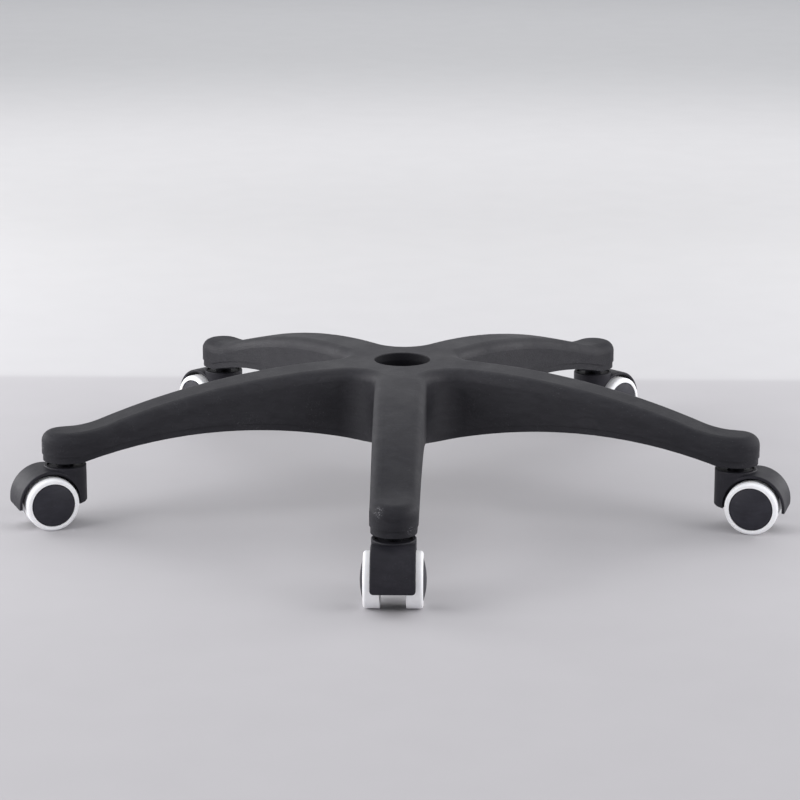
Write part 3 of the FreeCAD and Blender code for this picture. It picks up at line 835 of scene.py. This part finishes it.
@dataclass(frozen=True)
class Softbox:
    """One soft lamp, with its place and sides in metres."""

    name: str
    place: tuple[float, float, float]
    width: float
    depth: float
    watts: float

    def hang(self, aim: Vector) -> None:
        """Adds the lamp and turns it to face the object.

        Args:
            aim: the point that it faces, in metres.
        """
        lamp = bpy.data.lights.new(self.name, "AREA")
        lamp.shape = "RECTANGLE"
        lamp.size = self.width
        lamp.size_y = self.depth
        lamp.energy = self.watts
        holder = bpy.data.objects.new(self.name, lamp)
        holder.location = self.place
        holder.rotation_euler = (aim - Vector(self.place)).to_track_quat("-Z", "Y").to_euler()
        bpy.context.scene.collection.objects.link(holder)


# Weak from above, so that no deep shadow falls, with a low pair at the back that rims the arms,
# a pair in front that reaches into the corners beside the front arm, and one far behind
SOFTBOXES = (
    Softbox("overhead_softbox", (-0.15, 0.95, 2.2), 4.2, 3.4, 14.3),
    Softbox("left_softbox", (-1.8, 0.7, 0.5), 1.4, 0.9, 21.0),
    Softbox("right_softbox", (1.8, 0.7, 0.5), 1.4, 0.9, 17.0),
    Softbox("left_front_softbox", (-2.4, -1.2, 0.9), 1.6, 1.2, 43.2),
    Softbox("right_front_softbox", (2.4, -1.2, 0.9), 1.6, 1.2, 29.6),
    Softbox("back_softbox", (0.0, 3.2, 1.4), 4.0, 1.6, 7.5),
)


@dataclass
class Studio:
    """Pale floor with painted light and shade, soft studio light and the camera at the
    photograph's angle.
    """

    floor_level: float
    camera_place_mm: tuple[float, float, float] = (64.24, -2909.1, 852.35)
    camera_pitch_deg: float = 14.611
    camera_yaw_deg: float = -1.308
    focal_px: float = 3119.6
    sensor_mm: float = 36.0
    floor_half_width: float = 9.0
    # How far behind the hub, in metres, the paper has each shade. The floor's sheet ends 0.45
    # behind it, and a paler sheet goes on from there. The other stops are painted light and
    # shade:
    # darker towards the front, lighter far behind, then a darker band and lighter again
    # furthest back.
    paper_and_painted_light_shades: tuple[tuple[float, str], ...] = (
        (-0.60, "b3b1b4"), (-0.25, "b9b7ba"), (0.443, "b9b7ba"), (0.471, "c9c8ca"),
        (1.25, "d1d0d1"), (2.05, "e3e2e3"), (2.85, "d7d7d8"), (3.66, "e3e3e4"),
    )
    paper_mm: float = 2.4
    mottle_mm: float = 60.0
    paper_relief_mm: float = 0.05
    paper_relief_strength: float = 0.4
    paper_roughness: float = 0.72
    mottle_amount: float = 0.02
    room_colour: str = "f0f1f5"
    room_strength: float = 0.67
    sight: float = 100.0

    def build(self) -> None:
        """Builds the floor, the lights, the surrounding light and the camera."""
        self._floor()
        self._surroundings()
        for softbox in SOFTBOXES:
            softbox.hang(Vector((0.0, 0.0, self.floor_level / 2)))
        self._camera()

    def _floor(self) -> None:
        """A wide pale sheet, lighter behind the object, with painted light and shade."""
        mesh = bpy.data.meshes.new("studio_floor")
        half = self.floor_half_width
        corners = [(-half, -half), (half, -half), (half, half), (-half, half)]
        mesh.from_pydata([(x, y, self.floor_level) for x, y in corners], [], [(0, 1, 2, 3)])
        floor = bpy.data.objects.new("studio_floor", mesh)
        bpy.context.scene.collection.objects.link(floor)
        mesh.materials.append(self._paper())

    def _paper(self) -> bpy.types.Material:
        """Makes the floor's paper: matt, faintly fibrous, lighter behind the object, with
        painted light and shade.

        Returns:
            The node material.
        """
        material, tree, shader = blank_material("paper_matt_studio")
        place = add_node(tree, "ShaderNodeTexCoord").outputs["Object"]
        depth = add_node(tree, "ShaderNodeSeparateXYZ", {"Vector": place})
        first, last = self.paper_and_painted_light_shades[0][0], self.paper_and_painted_light_shades[-1][0]
        far = add_node(
            tree, "ShaderNodeMapRange", {"Value": depth.outputs["Y"]},
            {"From Min": first, "From Max": last},
        )
        # Painted light and shade: the paper's tone follows how far behind the hub it lies
        ramp = add_node(tree, "ShaderNodeValToRGB", {"Fac": far.outputs["Result"]})
        stops = ramp.color_ramp.elements
        ramp.color_ramp.interpolation = "EASE"
        while len(stops) < len(self.paper_and_painted_light_shades):
            stops.new(0.5)
        for number, (distance, shade) in enumerate(self.paper_and_painted_light_shades):
            stops[number].position = (distance - first) / (last - first)
            stops[number].color = linear(shade)
        mottle = add_node(
            tree, "ShaderNodeTexNoise", {"Vector": place},
            {"Scale": per_metre(self.mottle_mm), "Detail": 3.0},
        )
        uneven = add_node(
            tree, "ShaderNodeMapRange", {"Value": mottle.outputs["Fac"]},
            {"From Min": NOISE_LOW, "From Max": NOISE_HIGH, "To Min": 1.0 - self.mottle_amount,
             "To Max": 1.0},
        )
        tone = add_node(
            tree, "ShaderNodeMix", {"A": ramp.outputs["Color"], "B": uneven.outputs["Result"]},
            {"Factor": 1.0}, data_type="RGBA", blend_type="MULTIPLY",
        )
        tree.links.new(tone.outputs["Result"], shader.inputs["Base Color"])
        fibres = add_node(
            tree, "ShaderNodeTexNoise", {"Vector": place},
            {"Scale": per_metre(self.paper_mm), "Detail": 4.0},
        )
        relief = add_node(
            tree, "ShaderNodeBump", {"Height": fibres.outputs["Fac"]},
            {"Strength": self.paper_relief_strength, "Distance": self.paper_relief_mm * MM},
        )
        tree.links.new(relief.outputs["Normal"], shader.inputs["Normal"])
        shader.inputs["Roughness"].default_value = self.paper_roughness
        return material

    def _surroundings(self) -> None:
        """Even, slightly cool light from the white room around."""
        world = bpy.data.worlds.new("white_room")
        bpy.context.scene.world = world
        world.use_nodes = True
        background = world.node_tree.nodes["Background"]
        background.inputs["Color"].default_value = linear(self.room_colour)
        background.inputs["Strength"].default_value = self.room_strength

    def _camera(self) -> None:
        """Sets up the camera that sees the object as the photograph does."""
        lens = bpy.data.cameras.new("photograph_camera")
        lens.sensor_width = self.sensor_mm
        lens.lens = self.focal_px / FRAME_WIDTH_PX * self.sensor_mm
        lens.clip_end = self.sight
        camera = bpy.data.objects.new("photograph_camera", lens)
        across, along, above = (value * MM for value in self.camera_place_mm)
        camera.location = (across, along, above + self.floor_level)
        tilt = Matrix.Rotation(math.radians(90.0 - self.camera_pitch_deg), 4, "X")
        turn = Matrix.Rotation(math.radians(-self.camera_yaw_deg), 4, "Z")
        camera.rotation_euler = (turn @ tilt).to_euler()
        bpy.context.scene.collection.objects.link(camera)
        bpy.context.scene.camera = camera


def main() -> None:
    """Builds every sub-assembly in order, then the studio."""
    logging.basicConfig(level=logging.INFO, format="%(message)s")
    bpy.context.scene.view_settings.view_transform = "Standard"
    finishes = Finishes()
    Star(finishes).dress()
    for arm in ArmName:
        Caster(arm, finishes).dress()
    Studio(floor_level=CAD_BOX[0][2]).build()


if __name__ == "__main__":
    main()
